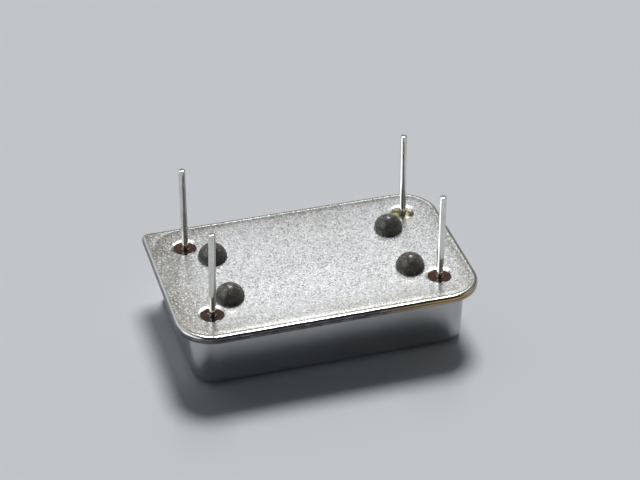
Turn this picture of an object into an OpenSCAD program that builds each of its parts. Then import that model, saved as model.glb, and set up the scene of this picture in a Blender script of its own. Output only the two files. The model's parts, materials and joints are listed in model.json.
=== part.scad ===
// Full-size metal-can clock oscillator with four pins on the 14-pin outline.
// It lies on its cover: z = 0 is the cover's flat face, and the pins point up.
// Seen from the pin side, pin 1 is at -X +Y, pin 7 at +X +Y, pin 8 at +X -Y and pin 14 at -X -Y.

/* [Case] */
// Length of the case over its flanges
case_length = 20.2; // [19.6:0.1:20.8]
// Width of the case over its flanges
case_width = 12.6; // [12.2:0.1:13.2]
// Height from the cover's flat face to the base plate's outer face
case_height = 4.65; // [4.5:0.05:5.6]
// Corner radius of both flanges, apart from the pin 1 corner
flange_corner_r = 2.45; // [2.2:0.05:2.8]
// Corner radius of both flanges at pin 1, the square corner
pin1_corner_r = 0.5; // [0.35:0.05:0.9]

/* [Base plate] */
// Thickness of the base plate's welding flange
plate_flange_t = 0.25; // [0.22:0.01:0.33]
// Depth of the platform that enters the cover
platform_depth = 0.9; // [0.77:0.01:0.97]
// Gap between the platform and the cover's wall
platform_gap = 0.12; // [0.08:0.01:0.2]
// Rounding of the outer face's edge
plate_edge_r = 0.18; // [0.08:0.01:0.2]
// Radius of the four pin holes
pin_hole_r = 0.75; // [0.6:0.05:0.8]
// Rounding of each pin hole's rim
hole_rim_r = 0.12; // [0.05:0.01:0.2]
// Radius of the dimple that holds each stand-off bead
dimple_r = 0.55; // [0.4:0.05:0.7]
// Depth of that dimple
dimple_depth = 0.5; // [0.3:0.05:0.7]

/* [Cover] */
// Sheet thickness of the drawn cover
cover_t = 0.22; // [0.18:0.01:0.3]
// Width of the flange outside the cover's wall
cover_flange_w = 0.85; // [0.75:0.05:0.95]
// Corner radius of the wall, apart from the pin 1 corner
wall_corner_r = 1.6; // [1.4:0.05:1.9]
// Corner radius of the wall at pin 1
wall_pin1_r = 0.9; // [0.85:0.05:1.2]
// Lean of the wall between the flange and the flat face
cover_draft = 0.08; // [0.04:0.01:0.1]
// Outer radius of the edge round the flat face
cover_edge_r = 0.7; // [0.5:0.05:0.72]
// Radius of the bend under the flange
flange_bend_r = 0.3; // [0.2:0.05:0.35]

/* [Pins] */
// Pin spacing along the case
pin_pitch_x = 15.24; // [15.24]
// Pin spacing across the case
pin_pitch_y = 7.62; // [7.62]
// Diameter of each pin outside the case, over its plating
pin_d = 0.46; // [0.4:0.01:0.5]
// Thickness of that plating, which thins away through the seal
pin_plating_t = 0.005; // [0.003:0.001:0.008]
// Length of each pin outside the base plate
pin_length = 6.2; // [4.5:0.1:7]
// Chamfer at both ends of each pin
pin_chamfer = 0.05; // [0.02:0.01:0.1]
// Length of each pin past the substrate
pin_inner_length = 0.45; // [0.4:0.05:0.6]

/* [Seals and stand-offs] */
// Depth of the glass below the outer face, at the hole's wall
glass_recess = 0.12; // [0.12:0.01:0.2]
// Sag of the glass between the pin and the hole's wall
glass_sag = 0.07; // [0.04:0.01:0.1]
// Depth of the braze below the outer face, at the hole's wall
braze_recess = 0.16; // [0.12:0.01:0.25]
// Radius of each stand-off bead
bead_r = 0.97; // [0.8:0.01:1]
// Height of each bead above the outer face
bead_h = 1.0; // [0.85:0.01:1.1]
// Distance of the beads from the middle, along the case
bead_x = 6.1; // [5.8:0.05:6.2]
// Distance of the beads from the middle, across the case
bead_y = 2.32; // [2:0.05:2.35]

/* [Substrate] */
// Length of the ceramic substrate
substrate_length = 16.8; // [16.4:0.1:17]
// Width of the ceramic substrate
substrate_width = 9.2; // [9:0.1:9.4]
// Thickness of the ceramic substrate
substrate_t = 0.635; // [0.5:0.005:0.7]
// Space between the substrate and the platform
substrate_gap = 0.415; // [0.3:0.005:0.45]
// Radius of the pin holes in the substrate
substrate_hole_r = 0.4; // [0.36:0.01:0.45]
// Thickness of the fired conductors
track_t = 0.02; // [0.01:0.005:0.03]
// Width of the conductors
track_w = 0.3; // [0.2:0.05:0.3]
// Radius of the ring pad round each pin
ring_pad_r = 0.7; // [0.65:0.01:0.72]

/* [Crystal] */
// Diameter of the quartz blank
blank_d = 8; // [7:0.1:8.2]
// Thickness of the quartz blank, which sets its frequency
blank_t = 0.17; // [0.1:0.01:0.25]
// Place of the blank's middle along the case
blank_x = 1.85; // [1.7:0.05:1.9]
// Height of the blank's electrodes above the conductors
blank_rise = 1.04; // [0.8:0.01:1.2]
// Diameter of the two electrodes
electrode_d = 4.8; // [3.5:0.1:5.5]
// Thickness of the electrode films
electrode_t = 0.02; // [0.01:0.005:0.03]
// Width of the tab from each electrode to the blank's edge
electrode_tab_w = 1.1; // [0.8:0.1:1.4]
// Sheet thickness of the clips
clip_t = 0.1; // [0.08:0.01:0.12]
// Width of the clips
clip_w = 1.4; // [1:0.1:1.5]
// Length of each clip's foot
clip_foot = 0.8; // [0.6:0.05:0.85]
// Reach of each clip's shelf from its bend
clip_shelf = 0.8; // [0.6:0.05:1]
// Radius of the adhesive dabs
dab_r = 0.42; // [0.3:0.01:0.5]

/* [Chip and wires] */
// Length of the silicon chip
chip_length = 1.7; // [1.6:0.05:1.8]
// Width of the silicon chip
chip_width = 1.4; // [1.3:0.05:1.5]
// Thickness of the silicon chip
chip_t = 0.35; // [0.25:0.01:0.45]
// Thickness of the solder and adhesive films under the parts
film_t = 0.02; // [0.01:0.005:0.03]
// Diameter of the bond wires
wire_d = 0.04; // [0.03:0.005:0.05]
// Radius of the ball at each wire's chip end
ball_r = 0.06; // [0.05:0.005:0.08]

/* [Capacitor] */
// Length of the chip capacitor
capacitor_length = 2; // [1.9:0.1:2]
// Width of the chip capacitor
capacitor_width = 1.25; // [1:0.05:1.3]
// Height of the chip capacitor
capacitor_height = 0.85; // [0.6:0.05:1]
// Length of each end terminal
terminal_length = 0.4; // [0.3:0.05:0.5]
// Thickness of the terminal metal round the body
terminal_t = 0.05; // [0.03:0.01:0.08]

/* [Hidden] */
$fn = 96;

// Heights of the stack, from the cover's flat face up
outer_z = case_height;
seam_z = outer_z - plate_flange_t;
cover_flange_z = seam_z - cover_t;
platform_z = seam_z - platform_depth;
substrate_back_z = platform_z - substrate_gap;
substrate_face_z = substrate_back_z - substrate_t;
track_z = substrate_face_z - track_t;
part_z = track_z - film_t;
shelf_z = track_z - blank_rise;
blank_back_z = shelf_z - electrode_t;
blank_face_z = blank_back_z - blank_t;
chip_face_z = part_z - chip_t;
pin_end_z = substrate_face_z - pin_inner_length;
pin_tip_z = outer_z + pin_length;

// Outlines: half sizes, and corner radii in the order +X+Y, -X+Y (pin 1), -X-Y, +X-Y
flange_half = [case_length, case_width] / 2;
flange_radii = [flange_corner_r, pin1_corner_r, flange_corner_r, flange_corner_r];
wall_half = flange_half - cover_flange_w * [1, 1];
wall_radii = [wall_corner_r, wall_pin1_r, wall_corner_r, wall_corner_r];
CORNER_SIGNS = [[1, 1], [-1, 1], [-1, -1], [1, -1]];
MIN_CORNER_R = 0.05;

// Places on the substrate's face, seen from the pin side
pin_r = pin_d / 2;
pin_core_r = pin_r - pin_plating_t;
pin_1 = [-pin_pitch_x, pin_pitch_y] / 2;
pin_7 = [pin_pitch_x, pin_pitch_y] / 2;
pin_8 = [pin_pitch_x, -pin_pitch_y] / 2;
pin_14 = [-pin_pitch_x, -pin_pitch_y] / 2;
blank_r = blank_d / 2;
CLIP_STANDOFF = 0.3;
DAB_OVERHANG = 0.05;
PAD_MARGIN = 0.1;
clip_reach = blank_r + CLIP_STANDOFF;
chip_at = [-4.9, 0.8];
capacitor_at = [-4.9, -2.3];

// Each wire runs from a pad on the chip to a place on the conductors
SUPPLY_FINGER = [-6.35, 0];
ENABLE_FINGER = [-6.35, 1.55];
GROUND_FINGER = [-4.9, 2.15];
CRYSTAL_IN_FINGER = [-3.4, 1.05];
CRYSTAL_OUT_FINGER = [-3.35, 2.2];
OUTPUT_FINGER = [-3.6, -1.2];
supply_pad = chip_at + [-0.65, -0.45];
enable_pad = chip_at + [-0.65, 0.45];
ground_pad = chip_at + [0, 0.5];
crystal_in_pad = chip_at + [0.65, 0];
crystal_out_pad = chip_at + [0.65, 0.5];
output_pad = chip_at + [0.6, -0.5];

// Length added where a cutter must pass right through
THROUGH = 1;

// ---- Shapes that several pieces use ----

// A rounded rectangle with its own radius at each corner, grown or shrunk by an even margin
module outline(half, radii, grow = 0) {
    h = half + grow * [1, 1];
    r = [for (c = radii) max(c + grow, MIN_CORNER_R)];
    polygon([
        for (k = [0:3])
            let (
                s = CORNER_SIGNS[k],
                on_side = [s.x * h.x, s.y * (h.y - r[k])],
                on_end = [s.x * (h.x - r[k]), s.y * h.y]
            )
            each (k % 2 == 0 ? [on_side, on_end] : [on_end, on_side])
    ]);
    for (k = [0:3])
        translate([CORNER_SIGNS[k].x * (h.x - r[k]), CORNER_SIGNS[k].y * (h.y - r[k])])
            circle(r[k]);
}

// Carries a profile round a rounded rectangle: its x = 0 runs on the outline, its x is outward
// and its y is up. No profile reaches in past the smallest corner radius.
module carry_round(half, radii) {
    for (k = [0:3])
        rotate([0, 0, 90 * k]) {
            h = k % 2 == 0 ? half : [half.y, half.x];
            r = radii[k];
            straight = 2 * h.y - r - radii[(k + 3) % 4];
            translate([h.x, h.y - r, 0])
                rotate([90, 0, 0])
                    linear_extrude(straight) children();
            translate([h.x - r, h.y - r, 0])
                rotate_extrude(angle = 90) translate([r, 0]) children();
        }
}

// A quarter ring, such as the section of a bend, round a centre and towards a quadrant's sign
module quarter_ring(centre, r_in, r_out, towards) {
    intersection() {
        translate(centre) difference() {
            circle(r_out);
            if (r_in > 0) circle(r_in);
        }
        translate([
            min(centre.x, centre.x + towards.x * r_out),
            min(centre.y, centre.y + towards.y * r_out)
        ]) square(r_out);
    }
}

// The hollow-faced ring of a fillet that runs from a wall at r_in out to a flat at y = 0
module fillet_profile(r_in, height, width) {
    r = min(height, width);
    difference() {
        translate([r_in, 0]) square([width, height]);
        translate([r_in + width, height]) circle(r);
    }
}

// A straight conductor between two points, with square ends
module strip(a, b, w = track_w) {
    translate([min(a.x, b.x) - w / 2, min(a.y, b.y) - w / 2])
        square([abs(a.x - b.x) + w, abs(a.y - b.y) + w]);
}

module route(points) {
    for (i = [1:len(points) - 1]) strip(points[i - 1], points[i]);
}

module pad(centre, size) {
    translate(centre) square(size, center = true);
}

// ---- Case ----

module base_plate() {
    color([0.72, 0.71, 0.68]) difference() {
        union() {
            translate([0, 0, seam_z]) {
                linear_extrude(plate_flange_t) outline(flange_half, flange_radii, -plate_edge_r);
                carry_round(flange_half, flange_radii) plate_edge_profile();
            }
            translate([0, 0, platform_z])
                linear_extrude(platform_depth)
                    outline(wall_half, wall_radii, -cover_t - platform_gap);
        }
        for (at = [pin_1, pin_7, pin_8, pin_14]) translate(at) pin_hole();
        for (s = CORNER_SIGNS)
            translate([s.x * bead_x, s.y * bead_y, outer_z - dimple_depth])
                cylinder(h = dimple_depth + THROUGH, r = dimple_r);
    }
}

// The strip that rounds the plate's outer edge
module plate_edge_profile() {
    translate([-plate_edge_r, 0]) square([plate_edge_r, plate_flange_t - plate_edge_r]);
    quarter_ring([-plate_edge_r, plate_flange_t - plate_edge_r], 0, plate_edge_r, [1, 1]);
}

module pin_hole() {
    translate([0, 0, platform_z - THROUGH])
        cylinder(h = outer_z - platform_z + 2 * THROUGH, r = pin_hole_r);
    translate([0, 0, outer_z - hole_rim_r])
        rotate_extrude() difference() {
            square([pin_hole_r + hole_rim_r, hole_rim_r + THROUGH]);
            translate([pin_hole_r + hole_rim_r, 0]) circle(hole_rim_r);
        }
}

module can_cover() {
    color([0.66, 0.68, 0.7]) {
        linear_extrude(cover_t) outline(wall_half, wall_radii, -cover_edge_r - cover_draft);
        carry_round(wall_half, wall_radii) cover_wall_profile();
        translate([0, 0, cover_flange_z])
            linear_extrude(cover_t) difference() {
                outline(flange_half, flange_radii);
                outline(wall_half, wall_radii, flange_bend_r);
            }
    }
}

// Section of the drawn wall: the edge round the flat face, the leaning wall and the flange bend
module cover_wall_profile() {
    bend_z = cover_flange_z - flange_bend_r;
    quarter_ring([-cover_draft - cover_edge_r, cover_edge_r],
        cover_edge_r - cover_t, cover_edge_r, [1, -1]);
    polygon([
        [-cover_draft, cover_edge_r],
        [0, bend_z],
        [-cover_t, bend_z],
        [-cover_t - cover_draft, cover_edge_r],
    ]);
    quarter_ring([flange_bend_r, bend_z], flange_bend_r, flange_bend_r + cover_t, [-1, 1]);
}

// ---- Pins, seals and stand-offs ----

// Radius of a pin inside its seal, where the plating thins away
function sealed_pin_r(z) = pin_core_r + pin_plating_t * (z - platform_z) / (outer_z - platform_z);

// A bare wire inside the case and a plated one outside it
module pin(at) {
    color([0.8, 0.79, 0.76]) translate(at)
        rotate_extrude() polygon([
            [0, pin_end_z],
            [pin_core_r - pin_chamfer, pin_end_z],
            [pin_core_r, pin_end_z + pin_chamfer],
            [pin_core_r, platform_z],
            [pin_r, outer_z],
            [pin_r, pin_tip_z - pin_chamfer],
            [pin_r - pin_chamfer, pin_tip_z],
            [0, pin_tip_z],
        ]);
}

// A ring that fills a pin hole, with a sagging outer face
module hole_filling(at, recess, sag) {
    top_z = outer_z - recess;
    inner_r = sealed_pin_r(top_z);
    half_width = (pin_hole_r - inner_r) / 2;
    sag_r = (pow(half_width, 2) + pow(sag, 2)) / (2 * sag);
    translate(at)
        rotate_extrude() difference() {
            polygon([
                [pin_core_r, platform_z],
                [pin_hole_r, platform_z],
                [pin_hole_r, top_z],
                [inner_r, top_z],
            ]);
            translate([inner_r + half_width, top_z + sag_r - sag]) circle(sag_r);
        }
}

module glass_seal(at) {
    color([0.28, 0.11, 0.07]) hole_filling(at, glass_recess, glass_sag);
}

module ground_braze() {
    color([0.6, 0.52, 0.3]) hole_filling(pin_7, braze_recess, glass_sag);
}

// A glass bead: a dome outside the plate on a short stem in its dimple
module standoff_bead(side) {
    color([0.24, 0.22, 0.2]) translate([side.x * bead_x, side.y * bead_y, outer_z]) {
        intersection() {
            translate([0, 0, bead_h - bead_r]) sphere(bead_r);
            translate([-bead_r, -bead_r, 0]) cube([2 * bead_r, 2 * bead_r, bead_h]);
        }
        translate([0, 0, -dimple_depth]) cylinder(h = dimple_depth, r = dimple_r);
    }
}

// ---- Substrate and its conductors ----

module ceramic_substrate() {
    color([0.92, 0.9, 0.86]) translate([0, 0, substrate_face_z])
        linear_extrude(substrate_t) difference() {
            square([substrate_length, substrate_width], center = true);
            substrate_holes();
        }
}

module substrate_holes() {
    for (at = [pin_1, pin_7, pin_8, pin_14]) translate(at) circle(substrate_hole_r);
}

module conductor_tracks() {
    finger_w = 1.3 * track_w;
    finger = [finger_w, finger_w];
    ground_finger = 1.5 * finger;
    clip_pad = [clip_foot + 2 * clip_t + 2 * PAD_MARGIN, clip_w + 2 * PAD_MARGIN];
    left_clip_pad = [blank_x - clip_reach - clip_foot / 2 - clip_t, 0];
    right_clip_pad = [blank_x + clip_reach + clip_foot / 2 + clip_t, 0];
    end_pad_reach = 0.55;
    end_pad = [terminal_length + end_pad_reach, capacitor_width + 2 * PAD_MARGIN];
    end_pad_x = (capacitor_length - terminal_length) / 2 + PAD_MARGIN;
    ground_drop_x = capacitor_at.x + end_pad_x;
    bypass_x = -3.05;
    top_run_y = 2.9;
    color([0.75, 0.72, 0.66]) translate([0, 0, track_z])
        linear_extrude(track_t) difference() {
            union() {
                for (at = [pin_1, pin_7, pin_8, pin_14]) translate(at) circle(ring_pad_r);
                // Supply: pin 14 to the capacitor and the chip
                route([pin_14, [SUPPLY_FINGER.x, pin_14.y], SUPPLY_FINGER]);
                pad(SUPPLY_FINGER, finger);
                pad(capacitor_at - [end_pad_x, 0], end_pad);
                // Enable: pin 1 to the chip
                route([pin_1, [pin_1.x, ENABLE_FINGER.y], ENABLE_FINGER]);
                pad(ENABLE_FINGER, finger);
                // Ground: pin 7 to the chip's paddle and the capacitor
                route([pin_7, [GROUND_FINGER.x, pin_7.y], chip_at]);
                pad(chip_at, [chip_length, chip_width] + 4 * PAD_MARGIN * [1, 1]);
                pad(GROUND_FINGER, ground_finger);
                route([[ground_drop_x, chip_at.y], [ground_drop_x, capacitor_at.y]]);
                pad(capacitor_at + [end_pad_x, 0], end_pad);
                // Output: the chip to pin 8
                route([OUTPUT_FINGER, [bypass_x, OUTPUT_FINGER.y], [bypass_x, pin_8.y], pin_8]);
                pad(OUTPUT_FINGER, finger);
                // Crystal: the chip to each clip
                pad(left_clip_pad, clip_pad);
                strip(CRYSTAL_IN_FINGER, left_clip_pad + [0, clip_w / 2]);
                pad(right_clip_pad, clip_pad);
                route([CRYSTAL_OUT_FINGER, [CRYSTAL_OUT_FINGER.x, top_run_y],
                    [right_clip_pad.x, top_run_y], right_clip_pad]);
                pad(CRYSTAL_OUT_FINGER, finger);
            }
            substrate_holes();
        }
}

module pin_solder(at) {
    fillet = pin_inner_length - 2 * pin_chamfer;
    color([0.7, 0.71, 0.72]) translate([at.x, at.y, track_z])
        rotate_extrude() {
            translate([pin_core_r, 0])
                square([substrate_hole_r - pin_core_r, track_t + substrate_t]);
            mirror([0, 1]) fillet_profile(pin_core_r, fillet, fillet);
        }
}

// ---- Crystal ----

module quartz_blank() {
    color([0.85, 0.88, 0.9]) translate([blank_x, 0, blank_face_z])
        cylinder(h = blank_t, r = blank_r);
}

// A round film with a tab to the blank's edge, towards one side
module electrode(z, side) {
    color([0.86, 0.84, 0.78]) translate([blank_x, 0, z])
        linear_extrude(electrode_t) {
            circle(electrode_d / 2);
            intersection() {
                circle(blank_r);
                translate([side > 0 ? 0 : -blank_r, -electrode_tab_w / 2])
                    square([blank_r, electrode_tab_w]);
            }
        }
}

// A strip bent twice: foot on the conductor, riser, and a shelf against the blank's rim
module crystal_clip(side) {
    bend_in = clip_t;
    bend_out = bend_in + clip_t;
    riser_low = shelf_z + bend_out;
    riser_high = track_z - bend_out;
    color([0.78, 0.74, 0.64])
        translate([blank_x, 0, 0]) mirror([side > 0 ? 0 : 1, 0, 0])
            translate([clip_reach, clip_w / 2, 0]) rotate([90, 0, 0])
                linear_extrude(clip_w) {
                    translate([bend_out, track_z - clip_t]) square([clip_foot, clip_t]);
                    quarter_ring([bend_out, riser_high], bend_in, bend_out, [-1, 1]);
                    translate([0, riser_low]) square([clip_t, riser_high - riser_low]);
                    quarter_ring([clip_t - bend_out, riser_low], bend_in, bend_out, [1, -1]);
                    translate([clip_t - bend_out - clip_shelf, shelf_z])
                        square([clip_shelf, clip_t]);
                }
}

// A dab that bridges the blank's rim and the clip's shelf
module clip_adhesive(side) {
    color([0.62, 0.62, 0.6]) difference() {
        intersection() {
            translate([blank_x + side * (blank_r + DAB_OVERHANG), 0, blank_back_z]) sphere(dab_r);
            translate([blank_x - 2 * blank_r, -2 * dab_r, 0])
                cube([4 * blank_r, 4 * dab_r, shelf_z]);
        }
        translate([blank_x, 0, blank_face_z - electrode_t])
            cylinder(h = blank_t + 2 * electrode_t, r = blank_r);
    }
}

// ---- Chip, wires and capacitor ----

module oscillator_chip() {
    color([0.25, 0.27, 0.32]) translate([chip_at.x, chip_at.y, chip_face_z])
        linear_extrude(chip_t) square([chip_length, chip_width], center = true);
}

module chip_adhesive() {
    color([0.6, 0.6, 0.58]) translate([chip_at.x, chip_at.y, part_z])
        linear_extrude(film_t)
            square([chip_length, chip_width] + PAD_MARGIN * [1, 1], center = true);
}

// An arc of wire from a pad on the chip to a finger, bulging away from the substrate
module bond_wire(from, to) {
    run = norm(to - from);
    drop = track_z - chip_face_z;
    chord = sqrt(pow(run, 2) + pow(drop, 2));
    loop_ratio = 0.6;
    arc_r = loop_ratio * chord;
    half_angle = asin(chord / (2 * arc_r));
    overrun = 4;
    slope = atan2(drop, run);
    color([0.9, 0.72, 0.3]) {
        intersection() {
            translate([from.x, from.y, chip_face_z])
                rotate([0, 0, atan2(to.y - from.y, to.x - from.x)])
                    rotate([90, 0, 0]) rotate([0, 0, slope])
                        translate([chord / 2, arc_r * cos(half_angle), 0])
                            rotate([0, 0, 270 - half_angle - overrun])
                                rotate_extrude(angle = 2 * (half_angle + overrun))
                                    translate([arc_r, 0]) circle(wire_d / 2);
            wire_space(from, to);
        }
        translate([from.x, from.y, chip_face_z - wire_d]) cylinder(h = wire_d, r = ball_r);
    }
}

// Everything on the open side of the chip and of the conductors, near one wire
module wire_space(from, to) {
    reach = 3 * norm(to - from);
    difference() {
        translate([from.x - reach, from.y - reach, chip_face_z - reach])
            cube([2 * reach, 2 * reach, track_z - chip_face_z + reach]);
        translate([chip_at.x - chip_length / 2, chip_at.y - chip_width / 2, chip_face_z])
            cube([chip_length, chip_width, reach]);
    }
}

module bypass_capacitor() {
    color([0.72, 0.62, 0.46])
        translate([capacitor_at.x, capacitor_at.y, part_z - capacitor_height / 2])
            cube([capacitor_length, capacitor_width, capacitor_height]
                - 2 * terminal_t * [1, 1, 1], center = true);
}

module capacitor_terminal(side) {
    color([0.78, 0.78, 0.77]) difference() {
        translate([capacitor_at.x + side * (capacitor_length - terminal_length) / 2,
            capacitor_at.y, part_z - capacitor_height / 2])
            cube([terminal_length, capacitor_width, capacitor_height], center = true);
        bypass_capacitor();
    }
}

// A film under the terminal and a fillet up its end
module capacitor_solder(side) {
    fillet_height = 0.55;
    fillet_width = 0.32;
    color([0.7, 0.71, 0.72])
        translate([capacitor_at.x, capacitor_at.y, 0]) mirror([side > 0 ? 0 : 1, 0, 0])
            translate([0, capacitor_width / 2, 0]) rotate([90, 0, 0])
                linear_extrude(capacitor_width) {
                    translate([capacitor_length / 2 - terminal_length, part_z])
                        square([terminal_length, film_t]);
                    translate([0, track_z]) mirror([0, 1])
                        fillet_profile(capacitor_length / 2, fillet_height, fillet_width);
                }
}

base_plate();
can_cover();
pin(pin_1);  // pin_1_enable
pin(pin_7);  // pin_7_ground
pin(pin_8);  // pin_8_output
pin(pin_14);  // pin_14_supply
glass_seal(pin_1);  // glass_seal_1
glass_seal(pin_8);  // glass_seal_8
glass_seal(pin_14);  // glass_seal_14
ground_braze();
standoff_bead([-1, 1]);  // standoff_bead_1
standoff_bead([1, 1]);  // standoff_bead_7
standoff_bead([1, -1]);  // standoff_bead_8
standoff_bead([-1, -1]);  // standoff_bead_14
ceramic_substrate();
conductor_tracks();
quartz_blank();
electrode(blank_back_z, -1);  // electrode_inner
electrode(blank_face_z - electrode_t, 1);  // electrode_outer
crystal_clip(-1);  // crystal_clip_left
crystal_clip(1);  // crystal_clip_right
clip_adhesive(-1);  // clip_adhesive_left
clip_adhesive(1);  // clip_adhesive_right
oscillator_chip();
chip_adhesive();
bond_wire(supply_pad, SUPPLY_FINGER);  // bond_wire_supply
bond_wire(enable_pad, ENABLE_FINGER);  // bond_wire_enable
bond_wire(ground_pad, GROUND_FINGER);  // bond_wire_ground
bond_wire(crystal_in_pad, CRYSTAL_IN_FINGER);  // bond_wire_crystal_in
bond_wire(crystal_out_pad, CRYSTAL_OUT_FINGER);  // bond_wire_crystal_out
bond_wire(output_pad, OUTPUT_FINGER);  // bond_wire_output
bypass_capacitor();
capacitor_terminal(-1);  // capacitor_terminal_left
capacitor_terminal(1);  // capacitor_terminal_right
capacitor_solder(-1);  // capacitor_solder_left
capacitor_solder(1);  // capacitor_solder_right
pin_solder(pin_1);  // pin_solder_1
pin_solder(pin_7);  // pin_solder_7
pin_solder(pin_8);  // pin_solder_8
pin_solder(pin_14);  // pin_solder_14
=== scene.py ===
"""Visual model of a metal-can crystal oscillator that lies on its cover with its leads up.

Every shape is worked out in millimetres and scaled to metres where its mesh is built. z = 0 is
the cover's flat face. Lead 1 is at -X +Y, lead 7 at +X +Y, lead 8 at +X -Y and lead 14 at -X -Y.
"""
import json
import math

import bmesh
import bpy
import numpy as np
from mathutils import Matrix, Vector
from mathutils.geometry import delaunay_2d_cdt


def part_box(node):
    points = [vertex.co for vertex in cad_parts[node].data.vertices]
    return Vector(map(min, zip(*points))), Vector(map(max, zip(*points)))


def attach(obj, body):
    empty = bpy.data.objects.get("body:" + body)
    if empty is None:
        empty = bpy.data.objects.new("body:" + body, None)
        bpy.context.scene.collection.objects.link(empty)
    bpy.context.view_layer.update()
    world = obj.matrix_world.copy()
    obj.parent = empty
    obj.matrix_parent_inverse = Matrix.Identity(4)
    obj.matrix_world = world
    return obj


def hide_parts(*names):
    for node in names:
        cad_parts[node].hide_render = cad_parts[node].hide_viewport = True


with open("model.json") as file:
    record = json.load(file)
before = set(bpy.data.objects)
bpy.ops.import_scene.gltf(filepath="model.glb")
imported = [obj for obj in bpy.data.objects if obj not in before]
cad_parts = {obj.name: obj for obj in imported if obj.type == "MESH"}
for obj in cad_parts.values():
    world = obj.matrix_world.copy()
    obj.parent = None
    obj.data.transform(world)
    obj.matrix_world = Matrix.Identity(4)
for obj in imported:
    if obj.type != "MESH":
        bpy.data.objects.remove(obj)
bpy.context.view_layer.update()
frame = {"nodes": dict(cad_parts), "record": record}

scene = bpy.context.scene

MM = 0.001


def span(node):
    """Lowest and highest corner of a CAD node, in millimetres."""
    low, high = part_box(node)
    return np.array(low) / MM, np.array(high) / MM


# ---- Sizes read from the frame ----

plate_low, plate_high = span("base_plate")
seal_low, seal_high = span("glass_seal_8")
FLANGE_HALF = (plate_high - plate_low)[:2] / 2
OUTER_Z = plate_high[2]
PLATFORM_Z = plate_low[2]
SEAM_Z = span("can_cover")[1][2]
HOLE_R = (seal_high - seal_low)[0] / 2

# ---- Sizes that the frame's boxes don't hold, as the case is drawn ----

# Corner radii in the order +X+Y, -X+Y (lead 1), -X-Y, +X-Y
FLANGE_RADII = np.array([2.45, 0.5, 2.45, 2.45])
WALL_RADII = np.array([1.6, 0.9, 1.6, 1.6])
COVER_FLANGE_W = 0.85
WALL_HALF = FLANGE_HALF - COVER_FLANGE_W
COVER_T = 0.22
COVER_FLANGE_Z = SEAM_Z - COVER_T
COVER_DRAFT = 0.08
COVER_EDGE_R = 0.7
BEND_R = 0.3
BEND_Z = COVER_FLANGE_Z - BEND_R
PLATFORM_GAP = 0.12
PLATFORM_INSET = COVER_T + PLATFORM_GAP
DIMPLE_R = 0.55
DIMPLE_DEPTH = 0.5
CORE_R = 0.225
END_CHAMFER = 0.05

# ---- Small shapes that forming, welding and firing leave ----

# The plate's rolled edge, and the band inside it where the face falls a little
ROLL_IN = 0.28
ROLL_DOWN = 0.17
EDGE_BAND = 1.1
EDGE_FALL = 0.008
# The line that the welding ring presses: its place and outline, its depth, its bell's width on
# the inner and the outer side, and how far out from it the rows of points lie
PRESS_INSET = 0.38
PRESS_HALF = FLANGE_HALF - PRESS_INSET
PRESS_RADII = np.full(4, 2.07)
PRESS_DEPTH = 0.009
PRESS_INNER = 0.2
PRESS_OUTER = 0.09
PRESS_ROWS = [-0.4, -0.3, -0.22, -0.15, -0.1, -0.05, -0.02, 0.01, 0.03, 0.05]
# The rounded rim of a lead hole, and the dip beside the hole: its depth and its bell's width, how
# far out its rows go, the side it lies on and its share to either side of that
RIM_WIDTH = 0.06
RIM_DEPTH = 0.06
DIP_DEPTH = 0.036
DIP_WIDTH = 0.15
DIP_REACH = 0.5
DIP_SIDE = np.array([-0.27, 0.963])
DIP_ACROSS = 0.3
# The plate's waves and their length, and the wall's, which are full that far from its ends and so
# many times longer upright
PLATE_WAVE, PLATE_WAVE_LENGTH = 0.006, 5.0
WALL_RIPPLE, WALL_RIPPLE_LENGTH = 0.006, 3.2
WALL_RIPPLE_FREE = 0.5
WALL_RIPPLE_UPRIGHT = 4
# Cut and weld marks along a flange's edge
EDGE_WOBBLE = 0.014
MARK_LENGTH, FINE_MARK_LENGTH = 2.2, 0.6
# The hollow of the cover's face, and how far in from its edge it is full
COVER_DISH, COVER_DISH_REACH = 0.03, 2.5
# Small roundings and bevels: of the flanges at the seam, of the platform as steps in and up, of a
# lead hole's inner end, and of a dimple's mouth and floor
SEAM_ROUND = 0.04
PLATFORM_BEVEL = [(0, 0.05), (0.02, 0.01), (0.05, 0)]
BORE_BEVEL = 0.04
MOUTH_BEVEL = 0.03
FLOOR_BEVEL = 0.04

# ---- Mesh density ----

ARC_STEPS = 20
LONG_STEPS = 72
SHORT_STEPS = 44
ROLL_STEPS = 14
BEND_STEPS = 10
DOME_STEPS = 29
RIM_STEPS = 8
SEAM_STEPS = 4
PLATE_SEAM_STEPS = 3
DIP_ROWS = 14
WALL_ROWS = 18
HOLE_TURNS = 72
WIRE_TURNS = 48
BEAD_TURNS = 96
PLATE_STEP = 0.2
HIDDEN_STEP = 0.8
# A strip between a sheet and a rounding, and the part of a step that a sheet's lattice keeps off
# its edges
GUARD = 0.03
LATTICE_MARGIN = 0.55
SAME_POINT_MM = 1e-7
MERGE_MM = 0.0002
SMOOTH_ANGLE = math.radians(40)

CORNERS = np.array([[1, 1], [-1, 1], [-1, -1], [1, -1]])


# ---- Surfaces ----


def smooth_step(t):
    """Rises from 0 to 1 with level ends: 3 t squared less 2 t cubed, t held between 0 and 1."""
    t = np.clip(t, 0, 1)
    return t * t * (3 - 2 * t)


def ripple(points, length, seed, waves=12):
    """Soft irregularity between about -1 and 1: a sum of sines of random direction and phase,
    with wavelengths of 0.7 to 1.6 of the given length. A seed always gives the same one."""
    rng = np.random.default_rng(seed)
    direction = rng.normal(size=(waves, points.shape[-1]))
    direction /= np.linalg.norm(direction, axis=1, keepdims=True)
    pace = 2 * math.pi / (length * rng.uniform(0.7, 1.6, waves))
    phase = rng.uniform(0, 2 * math.pi, waves)
    total = np.sin(points @ (direction * pace[:, None]).T + phase).sum(-1)
    return np.clip(total / math.sqrt(waves) / 1.4, -1, 1)


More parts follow.
